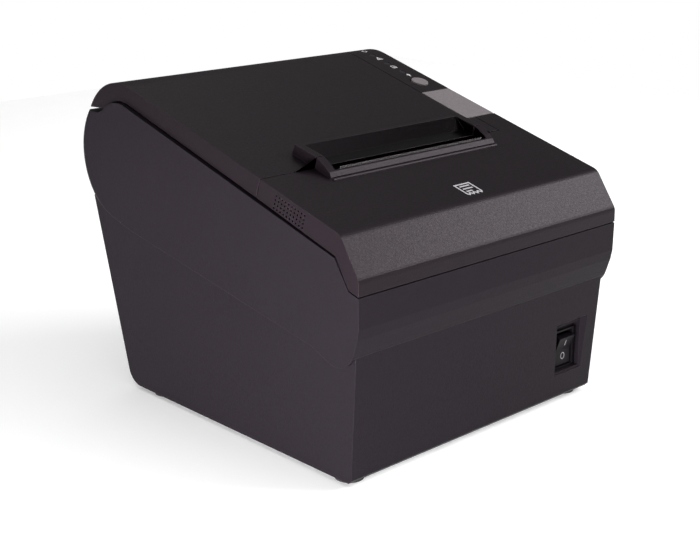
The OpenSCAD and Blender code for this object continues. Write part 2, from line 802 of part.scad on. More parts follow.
blade_h = [-14, -13.4];
module cutter_frame() {
    color(steel) printer_frame() on_cover() {
        difference() {
            union() {
                block([-plate_x - plate_t, 9, -19.2], [plate_x + plate_t, 38, -18]);
                block([-plate_x - plate_t, 9, -18], [plate_x + plate_t, 10.2, -11.6]);
                mirrored_x() block([plate_x, 10.2, -18], [plate_x + plate_t, 38, -11.6]);
                block([-57, 22, -13], [-plate_x - plate_t, 28, -11.6]);
            }
            translate([cutter_pinion_at[0], cutter_pinion_at[1], -20]) cylinder(r = 2.6, h = 4);
        }
        translate([cutter_gear_at[0], cutter_gear_at[1], -18]) cylinder(r = 1.5, h = 3.8);
    }
}

module cutter_cover() {
    color(steel) printer_frame() on_cover() difference() {
        block([-plate_x - plate_t, 9, -11.6], [plate_x + plate_t, 38.4, -10.6]);
        for (x = [-40, 40]) translate([x, 14, -12]) cylinder(r = 1.6, h = 3);
    }
}

module moving_blade() {
    half = paper_w / 2 + 0.5;
    color([0.8, 0.81, 0.83]) printer_frame() on_cover() {
        translate([0, 0, blade_h[0]]) linear_extrude(blade_h[1] - blade_h[0])
            polygon([[-half, 24], [half, 24], [half, 38], [0, 34.4], [-half, 38]]);
        translate([0, 0, -16.6]) linear_extrude(16.6 + blade_h[0]) difference() {
            polygon([[4, 10.6], [rack_x + 0.75, 10.6], [rack_x + 0.75, 31.4], [4, 31.4]]);
            for (k = [-5:2]) let (s = cutter_gear_at[1] + k * rack_pitch)
                polygon([[rack_x + 2, s - 1.35], [rack_x - 1, s - 0.3], [rack_x - 1, s + 0.3],
                    [rack_x + 2, s + 1.35]]);
        }
    }
}

module cutter_gear() {
    color([0.9, 0.9, 0.86]) printer_frame() on_cover()
        translate([cutter_gear_at[0], cutter_gear_at[1], -16.8])
            gear_blank(cutter_module, cutter_gear_teeth, 0, 2.2, 1.5 + running);
}

module cutter_pinion() {
    color([0.8, 0.7, 0.4]) printer_frame() on_cover()
        translate([cutter_pinion_at[0], cutter_pinion_at[1], -16.8]) {
            gear_blank(cutter_module, cutter_pinion_teeth, cutter_pinion_phase, 2.2, 1.01);
            translate([0, 0, -4]) cylinder(r = 1, h = 6.4);
        }
}

module cutter_motor() {
    color([0.6, 0.61, 0.63]) printer_frame() on_cover()
        translate([cutter_pinion_at[0], cutter_pinion_at[1], -38]) difference() {
            cylinder(r = 6.4, h = 18.8);
            translate([0, 0, 16.6]) cylinder(r = 1 + running, h = 3);
        }
}

module fixed_blade() {
    color([0.8, 0.81, 0.83]) printer_frame() on_cover() difference() {
        block([-paper_w / 2 - 0.6, 44.9, -13], [paper_w / 2 + 0.6, 53, -12.2]);
        for (x = [-30, 30]) translate([x, 50, -14]) cylinder(r = 1.3, h = 3);
    }
}

// ---- electronics ----

module main_board() {
    color(board_green) printer_frame() difference() {
        block([-56, 78, 7.4], [56, 129.5, 9]);
        for (x = [-50, 50], y = [82, 122]) translate([x, y, 6]) cylinder(r = 1.6, h = 4);
    }
}

module board_parts() {
    color([0.15, 0.15, 0.16]) printer_frame() {
        block([-20, 90, 9], [-4, 106, 10.6]);
        block([8, 88, 9], [18, 98, 10.4]);
        block([24, 84, 9], [46, 88, 14]);
        for (x = [-40, -29]) translate([x, 92, 9]) cylinder(r = 4, h = 11);
        translate([36, 100, 9]) cylinder(r = 5, h = 12);
    }
}

// Each port: centre X, body width, body depth behind the plate, body height
dc = [-47, 14, 14, 13];
drawer = [-28, 13.4, 16, 12.6];
usb = [-10, 12, 16, 11];
lan = [9, 16, 20, 13.4];
serial = [38, 19, 12, 11];
ports = [dc, drawer, usb, lan, serial];
board_top = 9;
port_face_y = 133;
module port_body(p) {
    block([p[0] - p[1] / 2, port_face_y - p[2], board_top], [p[0] + p[1] / 2, port_face_y, board_top + p[3]]);
}

module port_plate() {
    color(steel) printer_frame() difference() {
        block([-57.6, port_y, 2.6], [57.6, port_y + 1.2, 28.6]);
        for (p = ports) block([p[0] - p[1] / 2 - 0.2, port_y - 1, board_top - 0.2],
            [p[0] + p[1] / 2 + 0.2, port_y + 3, board_top + p[3] + 0.2]);
    }
}

module dc_inlet() {
    color([0.12, 0.12, 0.12]) printer_frame() {
        difference() {
            port_body(dc);
            translate([dc[0], port_face_y + 1, board_top + 6.5]) rotate([90, 0, 0]) cylinder(r = 4.8, h = 10);
        }
        for (a = [90, 210, 330])
            translate([dc[0] + 2.4 * cos(a), port_face_y - 3, board_top + 6.5 + 2.4 * sin(a)])
                rotate([90, 0, 0]) cylinder(r = 0.5, h = 7);
    }
}

module modular_jack(p, w, h) {
    difference() {
        port_body(p);
        block([p[0] - w / 2, port_face_y - 11, board_top + 2], [p[0] + w / 2, port_face_y + 1, board_top + 2 + h]);
        block([p[0] - 2, port_face_y - 5, board_top + 1.2], [p[0] + 2, port_face_y + 1, board_top + 2.2]);
    }
}
module drawer_port() { color([0.12, 0.12, 0.12]) printer_frame() modular_jack(drawer, 9.9, 7.2); }
module lan_port() { color(steel) printer_frame() modular_jack(lan, 11.9, 8.4); }

module usb_port() {
    color(steel) printer_frame() {
        difference() {
            port_body(usb);
            block([usb[0] - 4.2, port_face_y - 9, board_top + 1.6], [usb[0] + 4.2, port_face_y + 1, board_top + 9.4]);
        }
        block([usb[0] - 2.8, port_face_y - 9.5, board_top + 3.9], [usb[0] + 2.8, port_face_y - 0.6, board_top + 7.1]);
    }
}

jack_spacing = 24.99;
module serial_port() {
    mid_z = board_top + 6.2;
    color(steel) printer_frame() difference() {
        union() {
            port_body(serial);
            block([serial[0] - 15.4, port_y + 1.2, mid_z - 6.2], [serial[0] + 15.4, port_y + 2, mid_z + 6.2]);
            translate([serial[0], port_face_y + 4, mid_z]) rotate([90, 0, 0]) linear_extrude(6)
                polygon([[-8.2, 3.9], [8.2, 3.9], [7, -3.9], [-7, -3.9]]);
            for (x = [-1, 1]) translate([serial[0] + x * jack_spacing / 2, port_face_y + 4, mid_z])
                rotate([90, 0, 0]) cylinder(r = 2.6, h = 4, $fn = 6);
        }
        for (x = [-1, 1]) translate([serial[0] + x * jack_spacing / 2, port_face_y + 5, mid_z])
            rotate([90, 0, 0]) cylinder(r = 1.25, h = 6.2);
        for (i = [-2:2]) translate([serial[0] + i * 2.77, port_face_y + 5, mid_z + 1.42])
            rotate([90, 0, 0]) cylinder(r = 0.55, h = 6);
        for (i = [-1.5:1.5]) translate([serial[0] + i * 2.77, port_face_y + 5, mid_z - 1.42])
            rotate([90, 0, 0]) cylinder(r = 0.55, h = 6);
    }
}

module buzzer() {
    color([0.1, 0.1, 0.1]) printer_frame() on_cover() translate([-66.4, 26, -7.6]) rotate([0, 90, 0]) {
        difference() {
            cylinder(r = 4, h = 9);
            translate([0, 0, -1]) cylinder(r = 1, h = 3);
        }
    }
}

// ---- power switch ----

bezel_y = well_y - 1;
rocker_face = 4.2;
rocker_half_h = 7.2;
rocker_throw = 20;
rocker_pivot = [13, switch_z];
rocker_pin_r = 1.2;
module switch_housing() {
    hole = [rocker_w / 2 + 0.4, rocker_half_h + 0.4];
    color([0.06, 0.06, 0.07]) printer_frame() difference() {
        union() {
            block([switch_x - 7.2, bezel_y, switch_z - 8.45], [switch_x + 7.2, well_y, switch_z + 8.45]);
            block([switch_x - 5.9, well_y - 0.1, switch_z - 8.2], [switch_x + 5.9, 22, switch_z + 8.2]);
            for (z = [-4.5, 4.5])
                block([switch_x - 0.4, 22, switch_z + z - 2.4], [switch_x + 0.4, 27, switch_z + z + 2.4]);
        }
        block([switch_x - hole[0], 0, switch_z - hole[1]], [switch_x + hole[0], 18, switch_z + hole[1]]);
        rod(rocker_pivot, rocker_pin_r + running, switch_x - 6.5, switch_x + 6.5);
    }
}

// The lower half is pressed in at rest; the upper half is its mirror image, turned by the throw
function turned(p, a) = [p[0] * cos(a) - p[1] * sin(a), p[0] * sin(a) + p[1] * cos(a)];
module power_rocker() {
    pressed = [[-rocker_face, -rocker_face * tan(rocker_throw / 2)], [-rocker_face, -rocker_half_h],
        [-rocker_face + 2.6, -rocker_half_h + 0.3], [2.2, -2.6]];
    raised = [for (i = [3:-1:1]) turned([pressed[i][0], -pressed[i][1]], rocker_throw)];
    color([0.1, 0.1, 0.11]) printer_frame() {
        across(switch_x - rocker_w / 2, switch_x + rocker_w / 2)
            polygon([for (p = concat(pressed, raised)) rocker_pivot + p]);
        rod(rocker_pivot, rocker_pin_r, switch_x - 5.8, switch_x + 5.8);
    }
}

// ---- feet and screws ----

module foot(x, y) {
    color(rubber) printer_frame() translate([x, y, -foot_h]) cylinder(r = 5.5, h = foot_h);
}
module foot_front_left() { foot(-feet_x, feet_y[0]); }
module foot_front_right() { foot(feet_x, feet_y[0]); }
module foot_rear_left() { foot(-feet_x, feet_y[1]); }
module foot_rear_right() { foot(feet_x, feet_y[1]); }

module screw(at, z, up, length) {
    translate([at[0], at[1], z]) mirror([0, 0, up > 0 ? 0 : 1]) difference() {
        union() {
            translate([0, 0, -1.3]) cylinder(r = 2.7, h = 1.3);
            cylinder(r = 1.5, h = length);
        }
        translate([0, 0, -1.4]) for (a = [0, 90]) rotate([0, 0, a]) block([-1.6, -0.35, 0], [1.6, 0.35, 0.8]);
    }
}

module base_screws() {
    color(steel) printer_frame() for (p = base_posts) screw(p, 0, 1, 12);
}

module frame_screws() {
    color(steel) printer_frame() for (p = frame_posts) screw(p, 15.5, -1, 9);
}

body_case();
base_plate();
front_cover();
paper_cover();
cover_liner();
control_panel();
hinge_pins();
power_lens();
error_lens();
paper_lens();
feed_button();
panel_board();
feed_switch();
release_button();
latch_shaft();
latch_hook_left();
latch_hook_right();
release_crank();
paper_bucket();
mech_frame();
cutter_frame();
cutter_cover();
moving_blade();
fixed_blade();
cutter_gear();
cutter_pinion();
cutter_motor();
tear_bar();
platen_shaft();
platen_sleeve();
platen_gear();
platen_bush_left();
platen_bush_right();
head_heatsink();
head_element();
head_pivot();
head_springs();
feed_motor();
motor_pinion();
idler_gear();
idler_axle();
main_board();
board_parts();
port_plate();
dc_inlet();
drawer_port();
usb_port();
lan_port();
serial_port();
switch_housing();
power_rocker();
buzzer();
foot_front_left();
foot_front_right();
foot_rear_left();
foot_rear_right();
base_screws();
frame_screws();
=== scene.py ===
"""Looks of the receipt printer: camera, studio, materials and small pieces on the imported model."""
import json
import math

import bmesh
import bpy
from mathutils import Matrix, Vector
from mathutils.bvhtree import BVHTree


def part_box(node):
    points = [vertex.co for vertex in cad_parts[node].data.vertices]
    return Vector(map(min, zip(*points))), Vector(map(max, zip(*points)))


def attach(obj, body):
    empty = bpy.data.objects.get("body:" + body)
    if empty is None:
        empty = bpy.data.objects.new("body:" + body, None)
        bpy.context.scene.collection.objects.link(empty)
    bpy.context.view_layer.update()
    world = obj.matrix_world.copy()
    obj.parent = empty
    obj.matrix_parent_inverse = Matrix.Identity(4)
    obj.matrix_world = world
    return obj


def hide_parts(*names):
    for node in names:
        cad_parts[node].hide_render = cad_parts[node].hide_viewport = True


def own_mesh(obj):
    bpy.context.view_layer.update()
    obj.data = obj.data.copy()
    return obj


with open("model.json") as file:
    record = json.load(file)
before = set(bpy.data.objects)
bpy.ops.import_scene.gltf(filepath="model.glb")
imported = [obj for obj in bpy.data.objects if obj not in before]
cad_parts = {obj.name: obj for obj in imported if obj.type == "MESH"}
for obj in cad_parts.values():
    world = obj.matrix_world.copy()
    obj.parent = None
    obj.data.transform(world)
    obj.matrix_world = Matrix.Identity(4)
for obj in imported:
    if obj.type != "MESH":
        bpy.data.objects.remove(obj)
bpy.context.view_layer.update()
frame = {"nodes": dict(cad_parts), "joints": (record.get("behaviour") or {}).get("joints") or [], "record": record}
nodes = frame["nodes"]
joints = {joint["name"]: joint for joint in frame["joints"]}
scene = bpy.context.scene

MM = 0.001
WHITE = (1, 1, 1, 1)
DOWN = (0, 0, -1)
REAR = (0, 1, 0)
UP = (0, 0, 1)

# ---------------------------------------------------------------- camera

# Place in millimetres before the factor, angles in degrees, lens and sensor in millimetres.
CAMERA_AT = Vector((-377.4, -398.6, 220.6)) * MM
CAMERA_YAW = -43.68
CAMERA_PITCH = -17.06
CAMERA_ROLL = 0.22
CAMERA_LENS = 70.4
CAMERA_SENSOR = 36
CAMERA_CLIP = 0.01


def turned(degrees, axis):
    return Matrix.Rotation(math.radians(degrees), 4, axis)


def add_camera():
    data = bpy.data.cameras.new("camera")
    data.lens = CAMERA_LENS
    data.sensor_width = CAMERA_SENSOR
    data.clip_start = CAMERA_CLIP
    camera = bpy.data.objects.new("camera", data)
    turn = turned(CAMERA_YAW, "Z") @ turned(90 + CAMERA_PITCH, "X") @ turned(CAMERA_ROLL, "Z")
    camera.matrix_world = Matrix.Translation(CAMERA_AT) @ turn
    scene.collection.objects.link(camera)
    scene.camera = camera


# ---------------------------------------------------------------- studio

ROOM_LIGHT = 0.14
FLOOR_SIZE = 1.4
FLOOR_GLOW = 0.16

# Each light's name, size in metres, power in watts, place and target in metres.
LIGHTS = (
    ("ceiling_light", (4.2, 4.2), 57, (0, 0.2, 2.3), (0, 0.2, 0)),
    ("bevel_light", (0.8, 0.45), 17, (0.95, -0.72, 0.70), (0, -0.07, 0.09)),
    ("side_light", (0.22, 0.10), 6.0, (-0.40, -0.22, 0.03), (0, -0.05, 0.03)),
)


def add_area(name, size, energy, at, target):
    data = bpy.data.lights.new(name, "AREA")
    data.shape = "RECTANGLE"
    data.size, data.size_y = size
    data.energy = energy
    light = bpy.data.objects.new(name, data)
    light.location = at
    light.rotation_euler = (Vector(target) - Vector(at)).to_track_quat("-Z", "Y").to_euler()
    scene.collection.objects.link(light)


def add_world():
    """Dim grey room for the light, with a white wall where the camera looks past the floor."""
    world = bpy.data.worlds.new("studio")
    world.use_nodes = True
    tree = world.node_tree
    wall = tree.nodes.new("ShaderNodeBackground")
    wall.inputs["Color"].default_value = WHITE
    room = tree.nodes["Background"]
    room.inputs["Color"].default_value = WHITE
    room.inputs["Strength"].default_value = ROOM_LIGHT
    seen = tree.nodes.new("ShaderNodeLightPath")
    blend = tree.nodes.new("ShaderNodeMixShader")
    tree.links.new(seen.outputs["Is Camera Ray"], blend.inputs[0])
    tree.links.new(room.outputs[0], blend.inputs[1])
    tree.links.new(wall.outputs[0], blend.inputs[2])
    tree.links.new(blend.outputs[0], tree.nodes["World Output"].inputs["Surface"])
    scene.world = world


def add_studio():
    scene.view_settings.view_transform = "Standard"
    add_world()
    for light in LIGHTS:
        add_area(*light)
    bpy.ops.mesh.primitive_plane_add(size=FLOOR_SIZE, location=(0, 0, 0))
    floor = bpy.context.object
    floor.name = "floor"
    floor.data.materials.append(floor_paper())


# ---------------------------------------------------------------- the covers' slope and the hood

UP_SLOPE = Vector(joints["blade_slide"]["axis"]).normalized()
OUT_OF_COVER = -Vector(joints["feed_press"]["axis"]).normalized()

# The space inside the hood round the paper exit, whose walls get painted shade, in metres.
HOOD_BEFORE_TEAR = 0.0002
HOOD_LENGTH = 0.0180
HOOD_HALF = 0.0426
HOOD_RIM = 0.0006


def centre(name):
    low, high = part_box(name)
    return (Vector(low) + Vector(high)) / 2


def spread(name, direction):
    """Lowest and highest reach of a CAD node along a direction."""
    reach = [vertex.co.dot(direction) for vertex in nodes[name].data.vertices]
    return min(reach), max(reach)


TEAR_LINE = spread("tear_bar", UP_SLOPE)[1]
HOOD_START = TEAR_LINE - HOOD_BEFORE_TEAR
HOOD_END = TEAR_LINE + HOOD_LENGTH
HOOD_TOP = spread("paper_cover", OUT_OF_COVER)[1] - HOOD_RIM

# ---------------------------------------------------------------- material building blocks

EDGE_SAMPLES = 6
EDGE_LEAN = (0.80, 0.985)


class Shader:
    """A node material with one Principled shader and short calls for its texture nodes."""

    def __init__(self, name):
        self.material = bpy.data.materials.new(name)
        self.material.use_nodes = True
        self.tree = self.material.node_tree
        self.surface = self.tree.nodes["Principled BSDF"]
        self.place = self.add("ShaderNodeTexCoord").outputs["Object"]

    def add(self, kind, **fields):
        node = self.tree.nodes.new(kind)
        for field, value in fields.items():
            setattr(node, field, value)
        return node

    def link(self, source, target):
        self.tree.links.new(source, target)

    def set(self, **sockets):
        for name, value in sockets.items():
            self.surface.inputs[name.replace("_", " ")].default_value = value

    def noise(self, scale, detail=2.0, roughness=0.5, stretch=None):
        node = self.add("ShaderNodeTexNoise")
        node.inputs["Scale"].default_value = scale
        node.inputs["Detail"].default_value = detail
        node.inputs["Roughness"].default_value = roughness
        self.link(self.stretched(stretch), node.inputs["Vector"])
        return node.outputs["Fac"]

    def stretched(self, stretch):
        if stretch is None:
            return self.place
        node = self.add("ShaderNodeMapping")
        node.inputs["Scale"].default_value = stretch
        self.link(self.place, node.inputs["Vector"])
        return node.outputs["Vector"]

    def cells(self, scale):
        node = self.add("ShaderNodeTexVoronoi")
        node.inputs["Scale"].default_value = scale
        self.link(self.place, node.inputs["Vector"])
        return node.outputs["Distance"]

    def ramp(self, value, low, high, low_at=0.3, high_at=0.7):
        """Low where the value is low_at, high where it is high_at, and even between them."""
        node = self.add("ShaderNodeMapRange")
        node.inputs["From Min"].default_value = low_at
        node.inputs["From Max"].default_value = high_at
        node.inputs["To Min"].default_value = low
        node.inputs["To Max"].default_value = high
        self.link(value, node.inputs["Value"])
        return node.outputs["Result"]

    def math(self, kind, *values):
        node = self.add("ShaderNodeMath", operation=kind)
        for socket, value in zip(node.inputs, values):
            if isinstance(value, (int, float)):
                socket.default_value = value
            else:
                self.link(value, socket)
        return node.outputs[0]

    def mix(self, factor, first, second):
        node = self.add("ShaderNodeMix", data_type="RGBA")
        self.link(factor, node.inputs["Factor"])
        for socket, value in ((node.inputs[6], first), (node.inputs[7], second)):
            if isinstance(value, tuple):
                socket.default_value = (*value, 1)
            else:
                self.link(value, socket)
        return node.outputs[2]

    def along(self, source, direction):
        """Dot product of a vector output with a fixed direction or with another output."""
        node = self.add("ShaderNodeVectorMath", operation="DOT_PRODUCT")
        self.link(source, node.inputs[0])
        if isinstance(direction, Vector):
            node.inputs[1].default_value = direction
        else:
            self.link(direction, node.inputs[1])
        return node.outputs["Value"]

    def rounded(self, radius):
        """Normal of the surface with its sharp edges rounded off."""
        bevel = self.add("ShaderNodeBevel", samples=EDGE_SAMPLES)
        bevel.inputs["Radius"].default_value = radius
        return bevel.outputs["Normal"]

    def edges(self, radius):
        """1 on sharp edges, 0 elsewhere, from how far a rounded normal leans from the real one."""
        real = self.add("ShaderNodeNewGeometry").outputs["Normal"]
        return self.ramp(self.along(self.rounded(radius), real), 1.0, 0.0, *EDGE_LEAN)

    def in_hood(self):
        """1 on the glossier walls inside the hood round the paper exit, which carry painted shade, 0 elsewhere."""
        across = self.along(self.place, Vector((1, 0, 0)))
        slope = self.along(self.place, UP_SLOPE)
        rise = self.along(self.place, OUT_OF_COVER)
        inside = self.math("COMPARE", across, 0, HOOD_HALF)
        for limit in (self.math("LESS_THAN", rise, HOOD_TOP),
                      self.math("GREATER_THAN", slope, HOOD_START),
                      self.math("LESS_THAN", slope, HOOD_END)):
            inside = self.math("MULTIPLY", inside, limit)
        return inside

    def bump(self, height, strength, distance, base=None):
        node = self.add("ShaderNodeBump")
        if base is not None:
            self.link(base, node.inputs["Normal"])
        node.inputs["Strength"].default_value = strength
        node.inputs["Distance"].default_value = distance
        self.link(height, node.inputs["Height"])
        self.link(node.outputs["Normal"], self.surface.inputs["Normal"])

    def colour(self, output):
        self.link(output, self.surface.inputs["Base Color"])

    def roughness(self, output):
        self.link(output, self.surface.inputs["Roughness"])


def scaled(colour, factor):
    return tuple(min(1.0, channel * factor) for channel in colour)


# ---------------------------------------------------------------- materials

SHEEN_TINT = (1, 0.84, 0.95, 1)
# Radius of the sharp edges that are painted lighter as a painted highlight.
EDGE_HIGHLIGHT_RADIUS = 0.00035
# Painted shade on the walls inside the hood, their gloss, and the stronger painted highlight on their edges.
HOOD_PAINTED_SHADE = 0.12
HOOD_GLOSS = 0.28
HOOD_EDGE_HIGHLIGHT = 12


def textured_plastic(name, colour, grain=1500, depth=0.00006, edge_highlight=3.0, rough=(0.36, 0.48),
                     specular=0.11, hollow=False, corner=0.00025):
    """Moulded plastic with a spark-eroded grain, faint cloudiness, and slightly polished edges that are painted
    lighter as a patchy painted highlight.

    With hollow, the walls inside the hood are painted darker as painted shade and are glossier, with a stronger
    painted highlight on their edges.
    """
    shader = Shader(name)
    shader.set(Specular_IOR_Level=specular, Specular_Tint=SHEEN_TINT)
    sparks = shader.noise(grain, detail=3.0, roughness=0.6)
    pits = shader.cells(grain * 1.3)
    mottle = shader.noise(grain * 0.42, roughness=0.7)
    clouds = shader.noise(22)
    base = shader.mix(shader.ramp(sparks, 0, 1), scaled(colour, 0.78), scaled(colour, 1.22))
    base = shader.mix(shader.ramp(clouds, 0, 0.35), base, scaled(colour, 0.85))
    base = shader.mix(shader.ramp(mottle, 0, 0.5), base, scaled(colour, 1.3))
    dull = shader.ramp(sparks, rough[1], rough[0])
    # Sharp edges are painted lighter, in patches: a painted highlight, on edges that are also slightly polished.
    edge_highlight_colour = scaled(colour, edge_highlight)
    if hollow:
        # Inside the hood the walls are painted darker, a painted shade, and their edges get a stronger painted
        # highlight.
        hood = shader.in_hood()
        base = shader.mix(hood, base, scaled(colour, HOOD_PAINTED_SHADE))
        dull = shader.math("SUBTRACT", dull, shader.math("MULTIPLY", hood, HOOD_GLOSS))
        edge_highlight_colour = shader.mix(hood, edge_highlight_colour, scaled(colour, HOOD_EDGE_HIGHLIGHT))
    patchy = shader.ramp(shader.noise(160, detail=3.0), 0.35, 1)
    edge = shader.math("MULTIPLY", shader.edges(EDGE_HIGHLIGHT_RADIUS), patchy)
    shader.colour(shader.mix(edge, base, edge_highlight_colour))
    shader.roughness(shader.math("SUBTRACT", dull, shader.math("MULTIPLY", edge, 0.08)))
    grains = shader.math("ADD", sparks, shader.math("MULTIPLY", pits, 0.5))
    skin = shader.math("ADD", grains, mottle)
    shader.bump(skin, strength=0.6, distance=depth, base=shader.rounded(corner))
    return shader.material


def smooth_plastic(name, colour, rough=0.3, specular=0.5, scuff=1.25, edge_highlight=1.6):
    """Plain moulded plastic: a nearly smooth skin with slow waviness, fine rub marks and sharp edges painted
    lighter as a painted highlight.
    """
    shader = Shader(name)
    shader.set(Specular_IOR_Level=specular)
    rubs = shader.noise(420, detail=4.0, roughness=0.7, stretch=(1, 1, 0.25))
    waves = shader.noise(60, detail=1.0)
    base = shader.mix(shader.ramp(rubs, 0, 1), scaled(colour, 0.9), scaled(colour, scuff))
    # Sharp edges are painted lighter, a painted highlight.
    shader.colour(shader.mix(shader.edges(0.0003), base, scaled(colour, edge_highlight)))
    shader.roughness(shader.ramp(rubs, rough * 0.8, rough * 1.25))
    shader.bump(shader.math("ADD", rubs, waves), strength=0.18, distance=0.00003)
    return shader.material


def sheet_metal(name, colour, rough=0.32, along=(1, 40, 40)):
    """Rolled or ground metal with streaks along one direction, darker patches and sharp edges painted lighter as a
    painted highlight.
    """
    shader = Shader(name)
    shader.set(Metallic=1.0)
    streaks = shader.noise(60, detail=4.0, roughness=0.6, stretch=along)
    patches = shader.noise(90, detail=3.0)
    base = shader.mix(shader.ramp(streaks, 0, 1), scaled(colour, 0.82), scaled(colour, 1.1))
    base = shader.mix(shader.ramp(patches, 0, 0.3), base, scaled(colour, 0.7))
    shader.colour(shader.mix(shader.edges(0.0002), base, scaled(colour, 1.3)))
    shader.roughness(shader.ramp(streaks, rough * 0.75, rough * 1.35))
    shader.bump(streaks, strength=0.25, distance=0.00002)
    return shader.material


def ground_rubber(name, colour, grain=2600):
    """Dull rubber with a fine ground surface and a dusty bloom."""
    shader = Shader(name)
    shader.set(Specular_IOR_Level=0.25)
    dust = shader.noise(140, detail=4.0, roughness=0.65)
    shader.colour(shader.mix(shader.ramp(dust, 0, 0.6), colour, scaled(colour, 2.0)))
    shader.roughness(shader.ramp(dust, 0.75, 0.95))
    shader.bump(shader.noise(grain), strength=0.5, distance=0.00004)
    return shader.material


def solder_mask(name, colour):
    """Glossy board lacquer over faint copper tracks."""
    shader = Shader(name)
    shader.set(Coat_Weight=0.5, Coat_Roughness=0.15)
    tracks = shader.add("ShaderNodeTexBrick")
    tracks.inputs["Scale"].default_value = 260
    tracks.inputs["Mortar Size"].default_value = 0.05
    tracks.inputs["Color1"].default_value = (*colour, 1)
    tracks.inputs["Color2"].default_value = (*scaled(colour, 0.85), 1)
    tracks.inputs["Mortar"].default_value = (*scaled(colour, 1.9), 1)
    shader.link(shader.place, tracks.inputs["Vector"])
    shader.colour(tracks.outputs["Color"])
    shader.roughness(shader.ramp(shader.noise(300), 0.25, 0.45))
    shader.bump(tracks.outputs["Fac"], strength=0.3, distance=0.00003)
    return shader.material


def printed_ink(name, colour):
    """Pad-printed ink: flat, a little uneven in strength, with a fine grain."""
    shader = Shader(name)
    shader.set(Specular_IOR_Level=0.2)
    thin = shader.noise(1400)
    shader.colour(shader.mix(shader.ramp(thin, 0, 0.45), colour, scaled(colour, 0.62)))
    shader.roughness(shader.ramp(thin, 0.5, 0.65))
    shader.bump(thin, strength=0.3, distance=0.00002)
    return shader.material


def label_stock(name, colour):
    """Matt polyester label: faint fibres, slightly yellowed in patches."""
    shader = Shader(name)
    fibres = shader.noise(900, detail=3.0, roughness=0.6, stretch=(1, 0.2, 1))
    clouds = shader.noise(60, detail=3.0)
    yellowed = (colour[0], colour[1] * 0.95, colour[2] * 0.8)
    base = shader.mix(shader.ramp(fibres, 0, 0.6), colour, scaled(colour, 0.88))
    shader.colour(shader.mix(shader.ramp(clouds, 0, 0.4), base, yellowed))
    shader.roughness(shader.ramp(fibres, 0.45, 0.6))
    shader.bump(fibres, strength=0.2, distance=0.00002)
    return shader.material


def floor_paper():
    """Pale backdrop paper with a faint glow that lifts it to the white of the wall."""
    shader = Shader("floor_paper")
    shader.set(Emission_Color=WHITE, Emission_Strength=FLOOR_GLOW)
    clouds = shader.ramp(shader.noise(3), 0, 1)
    shader.colour(shader.mix(clouds, (0.93, 0.93, 0.93), (0.96, 0.96, 0.96)))
    shader.roughness(shader.ramp(shader.noise(40), 0.75, 0.9))
    return shader.material


CHARCOAL = (0.0094, 0.0074, 0.0097)
DARK = (0.0068, 0.0047, 0.0062)
KEY_GREY = (0.173, 0.154, 0.163)

# The maker, colour and settings of each of the record's material slots.
SLOT_MATERIALS = {
    # Some settings set how much lighter sharp edges are painted, a painted highlight; the cover's also paints
    # shade inside the hood.
    "casing_plastic": (textured_plastic, CHARCOAL, {"specular": 0.05}),
    "cover_plastic": (textured_plastic, DARK, {"edge_highlight": 5.0, "hollow": True}),
    "key_plastic": (textured_plastic, KEY_GREY,
                    {"grain": 1900, "depth": 0.00004, "edge_highlight": 1.25, "corner": 0.0001}),
    "liner_plastic": (smooth_plastic, (0.03, 0.03, 0.032), {"rough": 0.42}),
    "lens_plastic": (smooth_plastic, (0.012, 0.011, 0.014), {"rough": 0.12}),
    "switch_black": (smooth_plastic, (0.0046, 0.0034, 0.0045),
                     {"rough": 0.35, "specular": 0.08, "edge_highlight": 1.1}),
    "component_black": (smooth_plastic, (0.02, 0.02, 0.021), {"rough": 0.45}),
    "gear_plastic": (smooth_plastic, (0.72, 0.70, 0.62), {"rough": 0.4, "scuff": 1.05}),
    "head_ceramic": (smooth_plastic, (0.70, 0.64, 0.52), {"rough": 0.15, "scuff": 1.05}),
    "steel_sheet": (sheet_metal, (0.55, 0.56, 0.58), {}),
    "blade_steel": (sheet_metal, (0.62, 0.63, 0.65), {"rough": 0.22}),
    "turned_steel": (sheet_metal, (0.58, 0.58, 0.6), {"rough": 0.28, "along": (60, 4, 4)}),
    "motor_can": (sheet_metal, (0.32, 0.32, 0.34), {"rough": 0.4}),
    "brass": (sheet_metal, (0.72, 0.53, 0.22), {"rough": 0.3, "along": (40, 2, 2)}),
    "heatsink_aluminium": (sheet_metal, (0.62, 0.63, 0.65), {"rough": 0.4}),
    "socket_shell": (sheet_metal, (0.66, 0.67, 0.69), {"rough": 0.2}),
    "platen_rubber": (ground_rubber, (0.022, 0.022, 0.023), {}),
    "foot_rubber": (ground_rubber, (0.018, 0.018, 0.018), {"grain": 1500}),
    "circuit_board": (solder_mask, (0.015, 0.12, 0.05), {}),
}


def make_materials():
    return {slot: maker(slot, colour, **settings)
            for slot, (maker, colour, settings) in SLOT_MATERIALS.items()}


# ---------------------------------------------------------------- CAD nodes

# Width in millimetres of the rounded edges of each material slot's nodes.
BEVELS = {"casing_plastic": 0.5, "cover_plastic": 0.45, "key_plastic": 0.5, "switch_black": 0.25}
OTHER_BEVEL = 0.15
BEVEL_SEGMENTS = 2
BEVEL_FROM = math.radians(28)
SAME_PLANE = math.radians(0.3)
SAME_POINT = 0.000002
FACE_WEIGHT = 80


